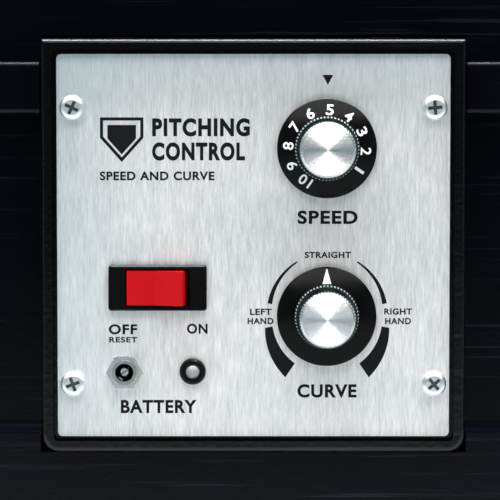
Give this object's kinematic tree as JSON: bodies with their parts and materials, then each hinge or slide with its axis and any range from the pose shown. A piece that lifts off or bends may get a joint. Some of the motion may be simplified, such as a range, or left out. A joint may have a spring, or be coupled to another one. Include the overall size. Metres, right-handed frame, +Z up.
{
  "type": "baseball pitching machine",
  "caption": "Battery ball thrower in a black moulded case: brushed control panel with two dials, rocker switch and jack, feed hopper above, two-wheel tilting throwing head inside.",
  "frame": {"origin": "on the floor under the middle of the machine, at the bottom of the rubber feet", "axes": "+Z up, -Y out of the control panel, +Y the way balls are thrown, +X to the right of someone facing the panel"},
  "size_m": [0.378, 0.5326, 0.48],
  "materials": {
    "case_black": "haircell texture",
    "pod_black": "leather grain",
    "panel_aluminium": "vertically brushed",
    "zinc": "bright zinc",
    "dial_black": "gloss",
    "dial_cap": "spun",
    "steel": "satin",
    "brass": "satin",
    "switch_black": "semi gloss",
    "rocker_red": "gloss",
    "jack_black": "satin",
    "lamp_clear": "clear lens",
    "lamp_bezel": "satin",
    "board_green": "solder resist",
    "board_parts": "anodised",
    "battery_case": "satin",
    "strap": "black paint",
    "lead": "satin",
    "chassis_steel": "black powder coat",
    "motor_can": "satin paint",
    "hub_aluminium": "cast and turned",
    "wheel_rubber": "matt",
    "hopper_black": "haircell texture",
    "feed_plastic": "satin",
    "tube_grey": "satin",
    "cart_black": "satin",
    "foot_rubber": "matt",
    "handle_black": "satin"
  },
  "bodies": {
    "case": {"base_plate": "chassis_steel", "battery": "battery_case", "battery_lamp": "lamp_clear", "battery_leads": "lead", "battery_strap": "strap", "battery_terminals": "brass", "board_parts": "board_parts", "cart_axle": "steel", "charge_jack": "jack_black", "charge_jack_contacts": "zinc", "charge_jack_nut": "zinc", "control_board": "board_green", "control_panel": "panel_aluminium", "control_pod": "pod_black", "cover_screws": "zinc", "curve_pot": "steel", "drop_tube": "tube_grey", "feed_motor": "motor_can", "feed_well": "hopper_black", "handle_lugs": "handle_black", "lamp_bezel": "lamp_bezel", "lower_case": "case_black", "panel_screws": "zinc", "pivot_brackets": "chassis_steel", "pivot_bushings": "brass", "pot_nuts": "steel", "rubber_feet": "foot_rubber", "speed_pot": "steel", "switch_body": "switch_black", "switch_terminals": "brass", "upper_cover": "case_black"},
    "speed_dial": {"speed_knob": "dial_black", "speed_knob_cap": "dial_cap", "speed_pot_shaft": "steel"},
    "curve_dial": {"curve_knob": "dial_black", "curve_knob_cap": "dial_cap", "curve_pot_shaft": "steel"},
    "rocker": {"power_rocker": "rocker_red"},
    "feeder": {"feed_disc": "feed_plastic", "feed_shaft": "steel"},
    "hopper_bin": {"hopper": "hopper_black"},
    "head": {"head_plate": "chassis_steel", "head_shaft": "steel", "shaft_clamps": "chassis_steel", "elevation_lever": "zinc", "clamp_knob": "handle_black", "ball_trough": "feed_plastic", "exit_barrel": "tube_grey", "left_motor": "motor_can", "right_motor": "motor_can"},
    "left_wheel": {"left_motor_shaft": "steel", "left_throw_hub": "hub_aluminium", "left_throw_tyre": "wheel_rubber"},
    "right_wheel": {"right_motor_shaft": "steel", "right_throw_hub": "hub_aluminium", "right_throw_tyre": "wheel_rubber"},
    "left_cart": {"left_cart_wheel": "cart_black"},
    "right_cart": {"right_cart_wheel": "cart_black"},
    "left_handle": {"left_side_handle": "handle_black"},
    "right_handle": {"right_side_handle": "handle_black"}
  },
  "joints": [
    {"name": "speed_turn", "type": "hinge", "parent": "case", "child": "speed_dial", "pos_m": [0.0237, -0.25, 0.2812], "axis": [0, -1, 0], "range_deg": [-150, 124]},
    {"name": "curve_turn", "type": "hinge", "parent": "case", "child": "curve_dial", "pos_m": [0.0237, -0.25, 0.2268], "axis": [0, -1, 0], "range_deg": [-146, 146]},
    {"name": "power_rock", "type": "hinge", "parent": "case", "child": "rocker", "pos_m": [-0.031, -0.249, 0.236], "axis": [0, 0, 1], "range_deg": [0, 22]},
    {"name": "head_tilt", "type": "hinge", "parent": "case", "child": "head", "pos_m": [0, 0.005, 0.138], "axis": [1, 0, 0], "range_deg": [-5, 20]},
    {"name": "left_wheel_spin", "type": "hinge", "parent": "head", "child": "left_wheel", "pos_m": [-0.086, 0.11, 0.188], "axis": [0, 0, 1], "continuous": true},
    {"name": "right_wheel_spin", "type": "hinge", "parent": "head", "child": "right_wheel", "pos_m": [0.086, 0.11, 0.188], "axis": [0, 0, 1], "continuous": true},
    {"name": "feed_spin", "type": "hinge", "parent": "case", "child": "feeder", "pos_m": [0, -0.07, 0.33], "axis": [0, 0, 1], "continuous": true},
    {"name": "hopper_lift", "type": "slide", "parent": "case", "child": "hopper_bin", "axis": [0, 0, 1], "range_m": [0, 0.15]},
    {"name": "left_cart_roll", "type": "hinge", "parent": "case", "child": "left_cart", "pos_m": [-0.1765, 0.2163, 0.055], "axis": [1, 0, 0], "continuous": true},
    {"name": "right_cart_roll", "type": "hinge", "parent": "case", "child": "right_cart", "pos_m": [0.1765, 0.2163, 0.055], "axis": [1, 0, 0], "continuous": true},
    {"name": "left_handle_fold", "type": "hinge", "parent": "case", "child": "left_handle", "pos_m": [-0.163, 0, 0.264], "axis": [0, 1, 0], "range_deg": [0, 90]},
    {"name": "right_handle_fold", "type": "hinge", "parent": "case", "child": "right_handle", "pos_m": [0.163, 0, 0.264], "axis": [0, -1, 0], "range_deg": [0, 90]}
  ]
}
